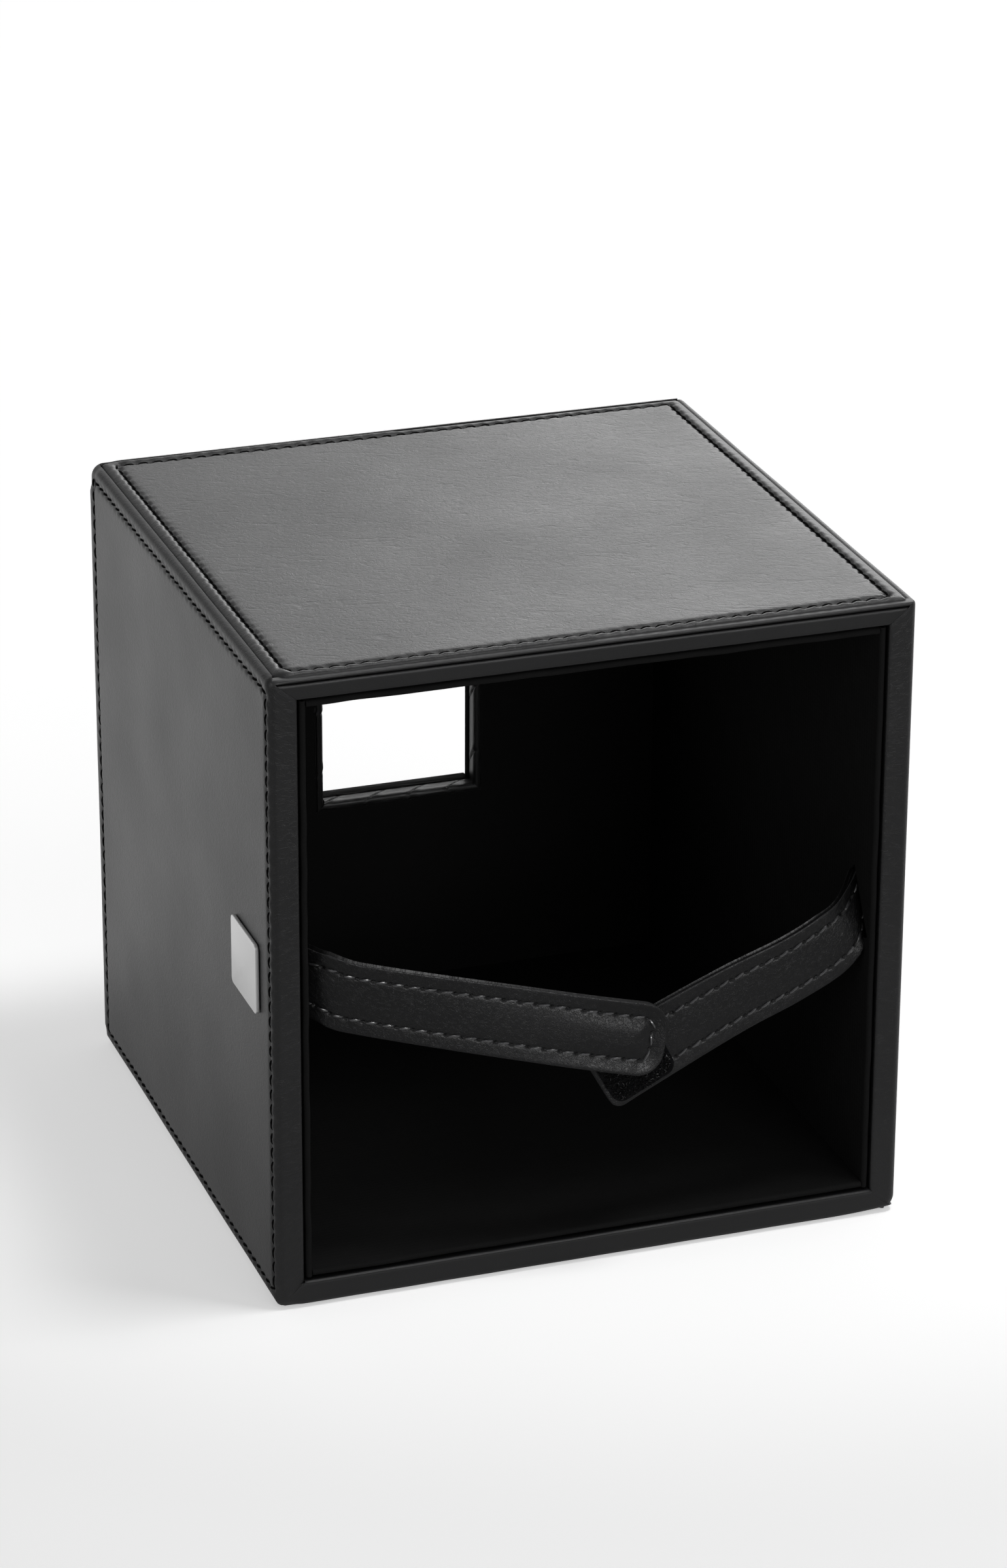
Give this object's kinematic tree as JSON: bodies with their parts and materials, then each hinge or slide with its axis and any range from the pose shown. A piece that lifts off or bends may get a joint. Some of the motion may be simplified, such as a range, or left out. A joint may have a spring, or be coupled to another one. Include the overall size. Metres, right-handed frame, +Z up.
{
  "type": "tissue box cover",
  "caption": "Leather-covered cube cover for a pack of tissues, lying on its side, with an open mouth, a window in the back wall and a hook-and-loop strap across the mouth.",
  "frame": {"origin": "middle of the flat underside of the cube, on the surface it lies on", "axes": "+Z up, -Y out of the open mouth, +Y through the window in the back wall, -X out of the wall with the metal plate"},
  "size_m": [0.1359, 0.1346, 0.137],
  "materials": {
    "leather": "smooth black leather with a low sheen",
    "fibreboard": "plain grey-brown fibreboard, hidden under the leather",
    "lining_cloth": "matt black cloth on card",
    "hook_tape_nylon": "black nylon hooks",
    "loop_tape_nylon": "black nylon pile",
    "plate_metal": "satin, blank",
    "adhesive_pad": "thin foam tape"
  },
  "bodies": {
    "box": {"left_leather": "leather", "right_leather": "leather", "top_leather": "leather", "bottom_leather": "leather", "back_leather": "leather", "top_rim": "leather", "bottom_rim": "leather", "window_jamb_left": "leather", "window_jamb_right": "leather", "window_sill": "leather", "window_head": "leather", "left_strap_anchor": "leather", "right_strap_anchor": "leather", "left_board": "fibreboard", "right_board": "fibreboard", "top_board": "fibreboard", "bottom_board": "fibreboard", "back_board": "fibreboard", "left_lining": "lining_cloth", "right_lining": "lining_cloth", "top_lining": "lining_cloth", "bottom_lining": "lining_cloth", "back_lining": "lining_cloth", "metal_plate": "plate_metal", "plate_adhesive": "adhesive_pad"},
    "left_strap": {"left_strap_face": "leather", "left_strap_backing": "leather", "hook_tape": "hook_tape_nylon"},
    "right_strap": {"right_strap_face": "leather", "right_strap_backing": "leather", "loop_tape": "loop_tape_nylon"}
  },
  "joints": [
    {"name": "left_strap_fold", "type": "hinge", "parent": "box", "child": "left_strap", "pos_m": [-0.0576, -0.057, 0.0683], "axis": [0, 0, -1], "range_deg": [0, 75]},
    {"name": "right_strap_fold", "type": "hinge", "parent": "box", "child": "right_strap", "pos_m": [0.0576, -0.057, 0.0653], "axis": [0, 0, 1], "range_deg": [0, 63.75]}
  ],
  "couplings": [
    {"joint": "right_strap_fold", "follows": "left_strap_fold", "ratio": 0.85}
  ]
}
